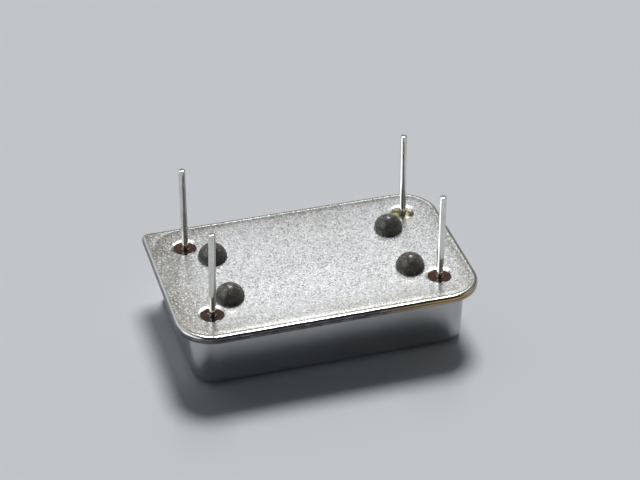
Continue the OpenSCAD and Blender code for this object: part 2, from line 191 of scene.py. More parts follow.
def circle(angle):
    """Points (cos, sin) of a unit circle."""
    return np.stack([np.cos(angle), np.sin(angle)], -1)


def full_turn(turns):
    """Even angles of a full turn."""
    return np.arange(turns) * 2 * math.pi / turns


def quarter(steps):
    """Even angles of a quarter turn, with both ends."""
    return np.linspace(0, math.pi / 2, steps + 1)


def rounded_loop(half, radii, grow=0.0):
    """Points round a rounded rectangle moved out by grow: at corner k, centre plus radius times
    (cos, sin) over its quarter turn, with even steps along the side to the next corner."""
    half = half + grow
    radii = radii + grow
    centre = CORNERS * (half - radii[:, None])
    turn = (np.arange(4)[:, None] + np.linspace(0, 1, ARC_STEPS + 1)) * math.pi / 2
    arcs = centre[:, None] + radii[:, None, None] * circle(turn)
    parts = []
    for k in range(4):
        start, end = arcs[k, -1], arcs[(k + 1) % 4, 0]
        steps = (LONG_STEPS, SHORT_STEPS)[k % 2]
        share = np.arange(1, steps)[:, None] / steps
        parts += [arcs[k], start + (end - start) * share]
    return np.concatenate(parts)


def loop_and_normal(half, radii):
    """A rounded rectangle's loop and its outward normals: the way to it from the same loop drawn
    smaller, over the inset."""
    inset = 0.1
    loop = rounded_loop(half, radii)
    return loop, (loop - rounded_loop(half, radii, -inset)) / inset


def depth_inside(x, y, half, radii):
    """Distance in from the edge of a rounded rectangle. q is the offset from the corner's centre:
    past it the radius less q's length counts, elsewhere the nearer side."""
    corner = np.where(
        y >= 0, np.where(x >= 0, radii[0], radii[1]), np.where(x < 0, radii[2], radii[3])
    )
    qx = np.abs(x) - half[0] + corner
    qy = np.abs(y) - half[1] + corner
    beyond = np.hypot(np.maximum(qx, 0), np.maximum(qy, 0))
    return corner - beyond - np.minimum(np.maximum(qx, qy), 0)


def lifted(loop, z):
    """A plane loop given its height, one for all points or one for each."""
    return np.concatenate([loop, np.broadcast_to(z, loop.shape[:1])[:, None]], 1)


def swept(loop, normal, out, height):
    """Rows of a section carried round an outline: row i is the outline moved out and lifted."""
    return [lifted(loop + normal * x, z) for x, z in zip(out, height)]


def turned(centre, radius, height, turns=HOLE_TURNS):
    """Rows of a turned surface: row i is centre plus radius i times (cos, sin) at height i. Radius
    and height hold one value a row, or one for each row and angle."""
    shape = (len(radius), turns, 1)
    radius = np.broadcast_to(np.reshape(radius, (len(radius), -1, 1)), shape)
    height = np.broadcast_to(np.reshape(height, (len(height), -1, 1)), shape)
    return np.concatenate([centre + radius * circle(full_turn(turns)), height], -1)


def place_in_scene(name, data):
    """A new object that shows a mesh, lamp or camera, at the origin."""
    item = bpy.data.objects.new(name, data)
    scene.collection.objects.link(item)
    return item


class Piece:
    """Gathers the surfaces of one piece, in millimetres, and makes them one closed mesh."""

    def __init__(self, name):
        self.name = name
        self.points = []
        self.faces = []
        self.total = 0

    def add(self, points, faces):
        """Takes in points, and faces that count them from 0."""
        self.points.append(points.reshape(-1, 3))
        self.faces += (faces + self.total).tolist()
        self.total += len(self.points[-1])

    def grid(self, rows):
        """Joins each row of points to the next with quads, and its last point to its first."""
        rows = np.asarray(rows)
        index = np.arange(rows.shape[0] * rows.shape[1]).reshape(rows.shape[:2])
        beside = np.roll(index, -1, axis=1)
        quads = np.stack([index[:-1], beside[:-1], beside[1:], index[1:]], -1)
        self.add(rows, quads.reshape(-1, 4))

    def sheet(self, half, radii, holes, step, height, pressed=None):
        """Fills a rounded rectangle less round holes with a surface z = height(x, y). The points
        are the outline, the holes' edges, rows that run beside a pressed line where there is one,
        and a square lattice kept clear of them all, joined by Delaunay's triangles. pressed holds
        the line's half sizes and corner radii, and how far out from it each row lies."""
        margin = step * LATTICE_MARGIN
        ring = circle(full_turn(HOLE_TURNS))
        loops = [rounded_loop(half, radii)] + [centre + radius * ring for centre, radius in holes]
        lattice = np.meshgrid(*(np.arange(-reach, reach, step) for reach in half))
        lattice = np.stack(lattice, -1).reshape(-1, 2)
        keep = depth_inside(*lattice.T, half, radii) > margin
        for centre, radius in holes:
            keep &= np.linalg.norm(lattice - centre, axis=1) > radius + margin
        if pressed:
            line_half, line_radii, grows = pressed
            loops += [rounded_loop(line_half, line_radii, grow) for grow in grows]
            out = -depth_inside(*lattice.T, line_half, line_radii)
            keep &= (out < min(grows) - margin) | (out > max(grows) + margin)
        # owner is the hole, counted from 1, whose edge a point lies on
        owner, edges, start = [], [], 0
        for k, loop in enumerate(loops):
            index = start + np.arange(len(loop))
            edges += np.stack([index, np.roll(index, -1)], -1).tolist()
            owner.append(np.full(len(loop), k if k <= len(holes) else 0))
            start += len(loop)
        flat = np.concatenate(loops + [lattice[keep]])
        owner = np.concatenate(owner + [np.zeros(int(keep.sum()), int)])
        made = delaunay_2d_cdt([Vector(p) for p in flat], edges, [], 0, SAME_POINT_MM)
        triangles = np.array(made[2])
        least, most = owner[triangles].min(1), owner[triangles].max(1)
        in_hole = (least > 0) & (least == most)
        self.add(lifted(flat, height(*flat.T)), triangles[~in_hole])

    def make(self, material, slot, node, shades=None):
        """Builds the mesh, closes its seams and poles and turns its faces outward. It takes the
        CAD node's place and rides on the body. shades(points) gives named values a point."""
        mesh = bpy.data.meshes.new(self.name)
        mesh.from_pydata(np.concatenate(self.points) * MM, [], self.faces)
        shell = bmesh.new()
        shell.from_mesh(mesh)
        bmesh.ops.remove_doubles(shell, verts=shell.verts, dist=MERGE_MM * MM)
        bmesh.ops.recalc_face_normals(shell, faces=shell.faces)
        if shell.calc_volume(signed=True) < 0:
            bmesh.ops.reverse_faces(shell, faces=shell.faces)
        shell.to_mesh(mesh)
        shell.free()
        mesh.polygons.foreach_set("use_smooth", np.ones(len(mesh.polygons), bool))
        mesh.set_sharp_from_angle(angle=SMOOTH_ANGLE)
        if shades:
            place = np.empty(len(mesh.vertices) * 3, np.float32)
            mesh.vertices.foreach_get("co", place)
            for label, values in shades(place.reshape(-1, 3).astype(float) / MM).items():
                attribute = mesh.attributes.new(label, "FLOAT", "POINT")
                attribute.data.foreach_set("value", values.astype(np.float32))
        mesh.materials.append(material)
        piece = place_in_scene(self.name, mesh)
        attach(piece, "root")
        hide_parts(node)


# ---- Camera ----

CAMERA_AZIMUTH = math.radians(-16.657)
CAMERA_ELEVATION = math.radians(34.915)
CAMERA_ROLL = math.radians(0.363)
CAMERA_DISTANCE = 130.521
CAMERA_TARGET = Vector((1.274, 2.238, 4.65))
SENSOR_WIDTH = 36.0
FOCAL_PIXELS = 1950.093
PICTURE_WIDTH = 640


def place_camera():
    """A long lens aimed at the plate near its middle. Its axes are the level right vector and the
    vector up from it, both turned by the roll, and the way back from the target."""
    sin_a, cos_a = math.sin(CAMERA_AZIMUTH), math.cos(CAMERA_AZIMUTH)
    sin_e, cos_e = math.sin(CAMERA_ELEVATION), math.cos(CAMERA_ELEVATION)
    back = Vector((sin_a * cos_e, -cos_a * cos_e, sin_e))
    level = Vector((cos_a, sin_a, 0))
    up = back.cross(level)
    right = math.cos(CAMERA_ROLL) * level + math.sin(CAMERA_ROLL) * up
    above = math.cos(CAMERA_ROLL) * up - math.sin(CAMERA_ROLL) * level
    lens = bpy.data.cameras.new("camera")
    lens.sensor_width = SENSOR_WIDTH
    lens.lens = FOCAL_PIXELS * SENSOR_WIDTH / PICTURE_WIDTH
    lens.clip_start = 0.001
    lens.clip_end = 20.0
    camera = place_in_scene("camera", lens)
    turn = Matrix((right, above, back)).transposed().to_4x4()
    camera.matrix_world = (
        Matrix.Translation((CAMERA_TARGET + back * CAMERA_DISTANCE) * MM) @ turn
    )
    scene.camera = camera


place_camera()


# ---- Light and floor ----

# Angles are in degrees: an azimuth goes from +Y towards +X, and an elevation up from the floor
FLOOR_COLOUR = (0.735, 0.762, 0.79, 1)
FLOOR_SIZE = 6.0
KEY_ELEVATION = 59
KEY_AZIMUTH = 21
KEY_ANGLE = 20
KEY_STRENGTH = 2.15
# The room's light: its level in front and behind, the cosines from behind at which it has them,
# and the share of it below LOW_TOP, which grows to all of it at HIGH_START
BACK_AZIMUTH = 0
BACK_LEVEL = 0.36
FRONT_LEVEL = 0.03
ROOM_TURN = -0.2, 0.6
LOW_SHARE = 0.45
LOW_TOP = 20
HIGH_START = 36
CARDS = [
    # azimuth, elevation, radius of the even core, radius of the faded edge, level
    (-96, 35, 14, 34, 2.6),
    (-42, 30, 14, 40, 0.7),
    (100, 33, 8, 26, 0.35),
]
# The wall in front: its level, the cosines from behind at which it starts and is whole, and the
# elevations at which it starts to fade and is gone. The sweep behind has the same
FRONT_WALL_LEVEL = 0.34
FRONT_WALL_TURN = 0.1, -0.5
FRONT_WALL_FULL = 20
FRONT_WALL_TOP = 45
SWEEP_LEVEL = 0.60
SWEEP_FULL = 8
SWEEP_TOP = 16
SKY_COLOUR = (0.918, 0.958, 1.0, 1)


def toward(azimuth, elevation):
    """Unit vector to a light."""
    a, e = math.radians(azimuth), math.radians(elevation)
    return Vector((math.sin(a) * math.cos(e), math.cos(a) * math.cos(e), math.sin(e)))


def put(tree, kind, inputs=(), **settings):
    """Adds a node. An input that is given as a socket is joined, and any other value is set."""
    node = tree.nodes.new(kind)
    for name, value in settings.items():
        setattr(node, name, value)
    for name, value in dict(inputs).items():
        if isinstance(value, bpy.types.NodeSocket):
            tree.links.new(value, node.inputs[name])
        else:
            node.inputs[name].default_value = value
    return node


def calculate(tree, operation, *values, clamp=False):
    """A Math node's result."""
    made = put(tree, "ShaderNodeMath", enumerate(values), operation=operation, use_clamp=clamp)
    return made.outputs[0]


def multiply(tree, first, second):
    """The product of two values."""
    return calculate(tree, "MULTIPLY", first, second)


def add(tree, first, second):
    """The sum of two values."""
    return calculate(tree, "ADD", first, second)


def spread(tree, value, low, high, to_low=0.0, to_high=1.0):
    """Maps a value smoothly from one range to another."""
    ends = {0: value, 1: low, 2: high, 3: to_low, 4: to_high}
    return put(tree, "ShaderNodeMapRange", ends, interpolation_type="SMOOTHSTEP").outputs[0]


def mixed(tree, share, *colours):
    """Mixes two colours, each a node's or a plain linear red, green and blue."""
    first, second = (c if isinstance(c, bpy.types.NodeSocket) else (*c, 1.0) for c in colours)
    return put(tree, "ShaderNodeMix", {0: share, 6: first, 7: second}, data_type="RGBA").outputs[2]


def cosine_to(tree, direction, azimuth, elevation):
    """Cosine of the angle between a direction and the way to a light."""
    return put(tree, "ShaderNodeVectorMath", {0: direction, 1: toward(azimuth, elevation)},
               operation="DOT_PRODUCT").outputs["Value"]


def spread_up(tree, height, low, high, to_low, to_high):
    """Maps the height of a direction smoothly between two elevations."""
    ends = [math.sin(math.radians(elevation)) for elevation in (low, high)]
    return spread(tree, height, *ends, to_low, to_high)


def light_world():
    """A soft studio: dim in front and bright behind, more so from a middle height up. What the
    camera, metal and glass see also has soft white cards, a low wall in front, and round the
    horizon a pale sweep that carries the floor on."""
    scene.world = bpy.data.worlds.new("soft_studio")
    scene.world.use_nodes = True
    tree = scene.world.node_tree
    tree.nodes.clear()
    direction = put(tree, "ShaderNodeTexCoord").outputs["Generated"]
    behind = cosine_to(tree, direction, BACK_AZIMUTH, 0)
    room = spread(tree, behind, *ROOM_TURN, FRONT_LEVEL, BACK_LEVEL)
    height = put(tree, "ShaderNodeSeparateXYZ", {0: direction}).outputs["Z"]
    upper = spread_up(tree, height, LOW_TOP, HIGH_START, LOW_SHARE, 1.0)
    wall = spread_up(tree, height, FRONT_WALL_FULL, FRONT_WALL_TOP, FRONT_WALL_LEVEL, 0.0)
    shown = multiply(tree, wall, spread(tree, behind, *FRONT_WALL_TURN))
    for azimuth, elevation, core, reach, strength in CARDS:
        card = spread(tree, cosine_to(tree, direction, azimuth, elevation),
                      math.cos(math.radians(reach)), math.cos(math.radians(core)), 0.0, strength)
        shown = add(tree, shown, card)
    ray = put(tree, "ShaderNodeLightPath").outputs
    seen = calculate(tree, "MAXIMUM", ray["Is Camera Ray"], ray["Is Glossy Ray"])
    seen = calculate(tree, "MAXIMUM", seen, ray["Is Transmission Ray"])
    level = add(tree, multiply(tree, room, upper), multiply(tree, shown, seen))
    sweep = multiply(tree, seen, spread_up(tree, height, SWEEP_FULL, SWEEP_TOP, 1.0, 0.0))
    missing = calculate(tree, "SUBTRACT", SWEEP_LEVEL, level)
    level = add(tree, level, multiply(tree, missing, sweep))
    sky = put(tree, "ShaderNodeBackground", {"Color": SKY_COLOUR, "Strength": level})
    put(tree, "ShaderNodeOutputWorld", {"Surface": sky.outputs[0]})


def hang_key_light():
    """A far round lamp, as wide as its angle."""
    lamp = bpy.data.lights.new("key_light", "SUN")
    lamp.angle = math.radians(KEY_ANGLE)
    lamp.energy = KEY_STRENGTH
    sun = place_in_scene("key_light", lamp)
    sun.rotation_mode = "QUATERNION"
    sun.rotation_quaternion = toward(KEY_AZIMUTH, KEY_ELEVATION).to_track_quat("Z", "Y")


def lay_floor():
    """A plain pale floor, far wider than any view of the object."""
    half = FLOOR_SIZE / 2
    mesh = bpy.data.meshes.new("floor")
    mesh.from_pydata([(-half, -half, 0), (half, -half, 0), (half, half, 0), (-half, half, 0)],
                     [], [(0, 1, 2, 3)])
    material = bpy.data.materials.new("pale_floor")
    material.use_nodes = True
    board = material.node_tree.nodes["Principled BSDF"]
    board.inputs["Base Color"].default_value = FLOOR_COLOUR
    board.inputs["Roughness"].default_value = 0.85
    board.inputs["Specular IOR Level"].default_value = 0.2
    mesh.materials.append(material)
    floor = place_in_scene("floor", mesh)


light_world()
hang_key_light()
lay_floor()
scene.view_settings.view_transform = "Standard"


# ---- Finishes: effects that several materials share ----

MICRON = 0.000001
# The part of a noise's values that a mask stretches from none to all
GLINT_RANGE = 0.52, 0.68
PIT_SHADE_RANGE = 0.47, 0.33
PATCH_RANGE = 0.38, 0.64
STREAK_RANGE = 0.4, 0.62
BROKEN_RANGE = 0.36, 0.58
# The bead's pale specks are painted glints
GLINT_SPECK_RANGE = 0.58, 0.65
# The part of a relief's heights that decides how rough its material is
RELIEF_RANGE = 0.35, 0.65
BLASTED_RANGE = 0.4, 0.6
# How far weld heat and the painted shade laid with it reach up and down, and the shares of that at
# which they are gone and full
HEAT_REACH = 0.3
HEAT_RANGE = 1.0, 0.45
# Where along x the weld tint starts to turn golden and is golden, and how high the painted shade
# # at a bead's foot reaches, in millimetres
GOLD_START, GOLD_FULL = 1.5, 7.5
FOOT_SHADE_RISE = 0.5


def effect(name, inputs, outputs, wire):
    """A node group that takes a place and the named inputs. wire(tree, given) places its nodes
    and returns what each output gets. Scales are in cells for each metre."""
    tree = bpy.data.node_groups.new(name, "ShaderNodeTree")
    tree.interface.new_socket(name="Vector", in_out="INPUT", socket_type="NodeSocketVector")
    for label in inputs:
        tree.interface.new_socket(name=label, in_out="INPUT", socket_type="NodeSocketFloat")
    for label in outputs:
        tree.interface.new_socket(name=label, in_out="OUTPUT", socket_type="NodeSocketFloat")
    given = put(tree, "NodeGroupInput").outputs
    put(tree, "NodeGroupOutput", dict(zip(outputs, wire(tree, given))))
    return tree


def cloud(tree, place, scale, detail, roughness):
    """A Noise texture's value."""
    return put(tree, "ShaderNodeTexNoise", {
        "Vector": place, "Scale": scale, "Detail": detail, "Roughness": roughness,
    }).outputs["Fac"]


def wire_grain(tree, given):
    """Blasted or fired grain. Its height is 0.65 of a fine noise and 0.35 of one 2.2 times finer.
    0.6 of the height and 0.4 of small cells of chance brightness, 1.2 times finer, decide where
    the painted glints and the painted shade of the pits go."""
    finer = multiply(tree, given["Scale"], 2.2)
    coarse = cloud(tree, given["Vector"], given["Scale"], 2.5, 0.6)
    fine = cloud(tree, given["Vector"], finer, 1.0, 0.5)
    height = add(tree, multiply(tree, coarse, 0.65), multiply(tree, fine, 0.35))
    cells = {"Vector": given["Vector"], "Scale": multiply(tree, given["Scale"], 1.2)}
    facet = put(tree, "ShaderNodeTexVoronoi", cells).outputs["Color"]
    chance = add(tree, multiply(tree, height, 0.6), multiply(tree, facet, 0.4))
    return height, spread(tree, chance, *GLINT_RANGE), spread(tree, chance, *PIT_SHADE_RANGE)


def wire_tarnish(tree, given):
    """Broad uneven patches, from a slow noise whose middle is stretched to the full range."""
    patches = cloud(tree, given["Vector"], given["Scale"], 3.0, 0.55)
    return (spread(tree, patches, *PATCH_RANGE),)


def wire_lines(tree, given):
    """Lines that run up and down a drawn wall or wire: a noise squeezed along z, so that it
    changes quickly across and slowly along."""
    at = put(tree, "ShaderNodeSeparateXYZ", {0: given["Vector"]}).outputs
    slow = multiply(tree, at["Z"], given["Along"])
    place = put(tree, "ShaderNodeCombineXYZ", {0: at["X"], 1: at["Y"], 2: slow}).outputs[0]
    lines = cloud(tree, place, given["Scale"], 3.0, 0.6)
    return lines, spread(tree, lines, *STREAK_RANGE)


def wire_heat_and_shade(tree, given):
    """Share of weld colour and of the painted shade laid with it: strongest at the seam's level,
    fading within the reach above and below it, and broken up by noise by up to a fifth."""
    at = put(tree, "ShaderNodeSeparateXYZ", {0: given["Vector"]}).outputs
    away = calculate(tree, "ABSOLUTE", calculate(tree, "SUBTRACT", at["Z"], given["Level"]))
    near = spread(tree, calculate(tree, "DIVIDE", away, given["Reach"]), *HEAT_RANGE)
    broken = spread(tree, cloud(tree, given["Vector"], given["Scale"], 3.0, 0.6), *BROKEN_RANGE)
    return (multiply(tree, near, spread(tree, broken, 0.0, 1.0, 0.8, 1.0)),)


GRAIN = effect("grain", ["Scale"], ["Height", "Glint", "PitShade"], wire_grain)
TARNISH = effect("tarnish", ["Scale"], ["Amount"], wire_tarnish)
LINES = effect("drawn_lines", ["Scale", "Along"], ["Height", "Streak"], wire_lines)
WELD_HEAT_AND_SHADE = effect("weld_heat_and_shade", ["Level", "Reach", "Scale"], ["Heat"], wire_heat_and_shade)


def start_material(name, **plain):
    """A material with one Principled shader, whose plain values are set on its own sockets, and
    the place of each point on the piece."""
    material = bpy.data.materials.new(name)
    material.use_nodes = True
    tree = material.node_tree
    for label, value in plain.items():
        tree.nodes["Principled BSDF"].inputs[label.replace("_", " ")].default_value = value
    return material, tree, put(tree, "ShaderNodeTexCoord").outputs["Object"]


def use(tree, group, place, **values):
    """Places a shared effect with this material's own values."""
    inputs = {"Vector": place, **values}
    return put(tree, "ShaderNodeGroup", inputs, node_tree=group).outputs


def carried(tree, label):
    """A share that the piece carries with its points."""
    return put(tree, "ShaderNodeAttribute", attribute_name=label).outputs["Fac"]


def finished(material, colour, rough, relief, microns, strength=1.0):
    """Joins colour, roughness and a relief of that full height to the shader. A pair of
    roughnesses is for the relief's hollows and its tops."""
    tree = material.node_tree
    if isinstance(rough, tuple):
        rough = spread(tree, relief, *RELIEF_RANGE, *rough)
    inputs = {"Height": relief, "Distance": microns * MICRON, "Strength": strength}
    normal = put(tree, "ShaderNodeBump", inputs).outputs[0]
    sockets = tree.nodes["Principled BSDF"].inputs
    for label, value in [("Base Color", colour), ("Roughness", rough), ("Normal", normal)]:
        tree.links.new(value, sockets[label])
    return material


def layered(tree, colour, layers):
    """Lays tones over a colour, each with its share."""
    for share, tone in layers:
        colour = mixed(tree, share, colour, tone)
    return colour


def weld_tint_and_shade(tree, place, below, scale):
    """Share and tone of weld heat round a level below the seam, golden at +X. The dark brown-grey
    tone elsewhere is partly weld colour and partly painted shade.
    """
    heat = use(tree, WELD_HEAT_AND_SHADE, place, Level=(SEAM_Z - below) * MM, Reach=HEAT_REACH * MM, Scale=scale)
    along = put(tree, "ShaderNodeSeparateXYZ", {0: place}).outputs["X"]
    late = spread(tree, along, GOLD_START * MM, GOLD_FULL * MM)
    # The dark brown-grey is partly painted shade, a dark reflection laid on the flange's side; the
    # golden tone is weld colour
    return heat["Heat"], mixed(tree, late, (0.09, 0.082, 0.092), (0.42, 0.30, 0.14))


def plate_finish():
    """Satin nickel: blasted grain with painted glints and painted shade in its pits, smooth on the
    rolled edge, painted shade along the edge in a darker brownish tone, a straw stain, faint
    tarnish, and weld heat low on the edge, whose dark tone is partly painted shade. The piece
    carries the shares of the edge shade, the roll and the stain with its points."""
    material, tree, place = start_material("satin_nickel", Metallic=1.0)
    grain = use(tree, GRAIN, place, Scale=10000.0)
    tarnish = use(tree, TARNISH, place, Scale=170.0)["Amount"]
    edge, rolled, stain = (carried(tree, label) for label in ("edge", "rolled", "stain"))
    # Painted shade along the plate's edge: a darker brownish tone, carried as the edge share
    painted_edge_shade = multiply(tree, edge, spread(tree, tarnish, 0.0, 1.0, 0.75, 1.0))
    open_face = calculate(tree, "SUBTRACT", 1.0, rolled, clamp=True)
    colour = mixed(tree, tarnish, (0.83, 0.835, 0.84), (0.78, 0.78, 0.77))
    colour = layered(tree, colour, [
        (painted_edge_shade, (0.33, 0.315, 0.27)),
        (multiply(tree, stain, 0.6), (0.62, 0.55, 0.36)),
    ])
    # Painted glints (white spots for sparkle off the grain) and painted shade in the grain's pits
    for label, strength, tone in [("Glint", 0.95, (1.0, 1.0, 1.0)),
                                  ("PitShade", 0.8, (0.16, 0.15, 0.13))]:
        spots = multiply(tree, grain[label], open_face)
        colour = mixed(tree, spots, colour, mixed(tree, strength, colour, tone))
    colour = layered(tree, colour, [weld_tint_and_shade(tree, place, 0.05, 1100.0)])
    rough = multiply(tree, spread(tree, grain["Height"], *BLASTED_RANGE, 0.27, 0.2),
                     spread(tree, rolled, 0.2, 1.0, 1.0, 0.5))
    return finished(material, colour, rough, grain["Height"], 6, open_face)


def cover_finish():
    """Bright nickel on drawn sheet: upright draw lines, faint clouding, and weld heat on the
    flange's edge, golden at +X, with a dark brown-grey that is partly painted shade."""
    material, tree, place = start_material("bright_nickel", Metallic=1.0)
    lines = use(tree, LINES, place, Scale=2600.0, Along=0.06)
    tarnish = use(tree, TARNISH, place, Scale=220.0)["Amount"]
    colour = mixed(tree, tarnish, (0.46, 0.47, 0.48), (0.41, 0.42, 0.425))
    colour = layered(tree, colour, [
        (multiply(tree, lines["Streak"], 0.06), (0.40, 0.405, 0.41)),
        weld_tint_and_shade(tree, place, 0.12, 1300.0),
    ])
    return finished(material, colour, (0.2, 0.24), lines["Height"], 0.1)


def lead_finish():
    """Bright plated wire: fine lengthwise lines and a little tarnish."""
    material, tree, place = start_material("plated_wire", Metallic=1.0)
    lines = use(tree, LINES, place, Scale=9000.0, Along=0.03)
    tarnish = use(tree, TARNISH, place, Scale=700.0)["Amount"]
    colour = mixed(tree, tarnish, (0.80, 0.79, 0.76), (0.70, 0.68, 0.63))
    return finished(material, colour, (0.1, 0.18), lines["Height"], 0.4)


def seal_finish():
    """Dark red-brown sealing glass, glossy, with slow changes of depth and faint specks."""
    material, tree, place = start_material(
        "sealing_glass", Coat_Weight=0.1, Coat_Roughness=0.04, IOR=1.5, Specular_IOR_Level=0.4)
    depth = use(tree, TARNISH, place, Scale=1600.0)["Amount"]
    grain = use(tree, GRAIN, place, Scale=9000.0)
    specks = multiply(tree, grain["Glint"], 0.3)
    colour = mixed(tree, depth, (0.082, 0.028, 0.011), (0.036, 0.014, 0.007))
    colour = mixed(tree, specks, colour, (0.18, 0.07, 0.03))
    return finished(material, colour, spread(tree, depth, 0.0, 1.0, 0.08, 0.16), depth, 6)


def bead_finish():
    """Fired glass with a semi-gloss skin: grey-brown, finely mottled, with painted shade in small
    pits, pale specks that are painted glints, and painted shade at the foot."""
    material, tree, place = start_material(
        "fired_glass", IOR=1.52, Specular_IOR_Level=0.3, Coat_Weight=0.32, Coat_Roughness=0.08)
    grain = use(tree, GRAIN, place, Scale=5200.0)
    mottle = use(tree, TARNISH, place, Scale=3200.0)["Amount"]
    height = put(tree, "ShaderNodeSeparateXYZ", {0: place}).outputs["Z"]
    # Painted shade low on the bead, darkest at its foot
    foot = spread(tree, height, OUTER_Z * MM, (OUTER_Z + FOOT_SHADE_RISE) * MM, 0.75, 0.0)
    colour = mixed(tree, mottle, (0.118, 0.108, 0.088), (0.07, 0.063, 0.051))
    # Painted shade in the pits and at the foot, and pale specks as painted glints
    colour = layered(tree, colour, [
        (multiply(tree, grain["PitShade"], 0.6), (0.04, 0.037, 0.033)),
        (foot, (0.02, 0.018, 0.016)),
        (spread(tree, grain["Height"], *GLINT_SPECK_RANGE), (0.42, 0.40, 0.32)),
    ])
    return finished(material, colour, (0.5, 0.34), grain["Height"], 4)


def braze_finish():
    """Brazing alloy that has run: pale straw, with olive, red-brown and silvery parts, whose
    shares the piece carries with its points."""
    material, tree, place = start_material("braze", Metallic=1.0)
    grain = use(tree, GRAIN, place, Scale=7000.0)
    patches = use(tree, TARNISH, place, Scale=1500.0)["Amount"]
    colour = mixed(tree, patches, (0.27, 0.26, 0.18), (0.21, 0.20, 0.13))
    colour = layered(tree, colour, [
        (carried(tree, "olive"), (0.085, 0.082, 0.037)),
        (carried(tree, "brown"), (0.10, 0.045, 0.03)),
        (carried(tree, "silver"), (0.55, 0.56, 0.51)),
    ])
    return finished(material, colour, (0.46, 0.34), grain["Height"], 4)


def inner_finish(name, light, dark, rough, scale, microns, plain):
    """A finish of a part inside the case: two tones in slow patches, nine times as coarse as the
    fine grain, with painted shade in the grain's pits and smoother tops."""
    material, tree, place = start_material(name, **plain)
    grain = use(tree, GRAIN, place, Scale=scale)
    patches = use(tree, TARNISH, place, Scale=scale / 9)["Amount"]
    pits = multiply(tree, grain["PitShade"], 0.35)
    colour = mixed(tree, patches, light, dark)
    colour = mixed(tree, pits, colour, [0.7 * c for c in dark])
    return finished(material, colour, rough[::-1], grain["Height"], microns)


# ---- Base plate ----

LEADS = {
    "1": "pin_1_enable", "7": "pin_7_ground", "8": "pin_8_output", "14": "pin_14_supply",
}
lead_at = {key: np.mean(span(node), axis=0)[:2] for key, node in LEADS.items()}
bead_at = {key: np.mean(span("standoff_bead_" + key), axis=0)[:2] for key in LEADS}
flange_loop, flange_normal = loop_and_normal(FLANGE_HALF, FLANGE_RADII)
wall_loop, wall_normal = loop_and_normal(WALL_HALF, WALL_RADII)


def plate_height(x, y):
    """Height of the plate's outer face. It is level in the middle and falls with the square of the
    way into the band along its edge. The welding ring has pressed a line, a bell that is steeper
    on its outer side, and drawing the holes has left a dip on one side of each, a bell outward
    from the hole. A slight waviness lies over it all."""
    at = np.stack([x, y], -1)
    band = np.clip(1 - depth_inside(x, y, FLANGE_HALF, FLANGE_RADII) / EDGE_BAND, 0, 1)
    height = OUTER_Z - EDGE_FALL * band**2
    from_line = depth_inside(x, y, PRESS_HALF, PRESS_RADII)
    width = np.where(from_line > 0, PRESS_INNER, PRESS_OUTER)
    height = height - PRESS_DEPTH * np.exp(-((from_line / width) ** 2))
    for centre in lead_at.values():
        out = np.maximum(np.linalg.norm(at - centre, axis=-1), HOLE_R)
        side = smooth_step(DIP_ACROSS + (at - centre) @ DIP_SIDE / out)
        height = height - DIP_DEPTH * side * np.exp(-(((out - HOLE_R) / DIP_WIDTH) ** 2))
    return height - PLATE_WAVE * (1 + ripple(at, PLATE_WAVE_LENGTH, seed=3)) / 2


# The painted edge shade's reach from the edge and the share of it that is lifted on the rolled
# # edge, the straw stain's place from lead 7, and how steeply the lift and the smoothness end on
# # the rolled edge
EDGE_SHADE_REACH = 1.3
ROLL_SHADE_LIFT = 0.6
STAIN_OFFSET = np.array([0.05, -0.95])
STAIN_WIDTH = 0.45
ROLL_LIFT_END, ROLL_END = 1.5, 2
# Start, reach and share of the painted shade over the end and over the corner, and of the smooth
# side
END_SHADE = 5.0, 4, 0.45
CORNER_SHADE = 9.0, 4, 0.35
SMOOTH_SIDE = 2.5, 3, 0.32


def past(distance, start, reach, share):
    """A share that grows smoothly from a start over a reach."""
    return share * smooth_step((distance - start) / reach)


def plate_shades(points):
    """Shares of the painted shade, a darker tone which fades exponentially on the way in from the
    edge, lies also over the end by leads 1 and 14 and the corner by lead 1, and is partly lifted
    on the rolled edge so that the rim shows bright; of the smooth rolled edge and the half-smooth
    side by leads 8 and 14; and of the straw stain in front of lead 7, a round bell."""
    x, y = points[:, :2].T
    inside = depth_inside(x, y, FLANGE_HALF, FLANGE_RADII)
    stain_x, stain_y = lead_at["7"] + STAIN_OFFSET
    return {
        # edge: the share of painted shade
        "edge": np.clip(np.exp(-np.maximum(inside, 0) / EDGE_SHADE_REACH)
                        + past(-x, *END_SHADE) + past(y - x, *CORNER_SHADE), 0, 1)
                * (1 - ROLL_SHADE_LIFT * smooth_step(ROLL_LIFT_END - ROLL_LIFT_END * inside / ROLL_IN)),
        "rolled": np.maximum(smooth_step(ROLL_END - ROLL_END * inside / ROLL_IN),
                             past(-y, *SMOOTH_SIDE)),
        "stain": np.exp(-((x - stain_x) ** 2 + (y - stain_y) ** 2) / STAIN_WIDTH**2),
    }


def edge_wobble(seed):
    """Small cut and weld marks along a flange's edge, as a distance in from it at each point: a
    middle depth, with 0.3 of the most from coarse marks and 0.2 from fine ones."""
    coarse = ripple(flange_loop, MARK_LENGTH, seed)
    fine = ripple(flange_loop, FINE_MARK_LENGTH, seed + 1)
    return EDGE_WOBBLE * (0.5 + 0.3 * coarse + 0.2 * fine)


def on_plate(centre, radius):
    """Rows of circles round a centre that lie on the plate's outer face."""
    rows = turned(centre, radius, np.zeros(len(radius)))
    rows[..., 2] = plate_height(rows[..., 0], rows[..., 1])
    return rows


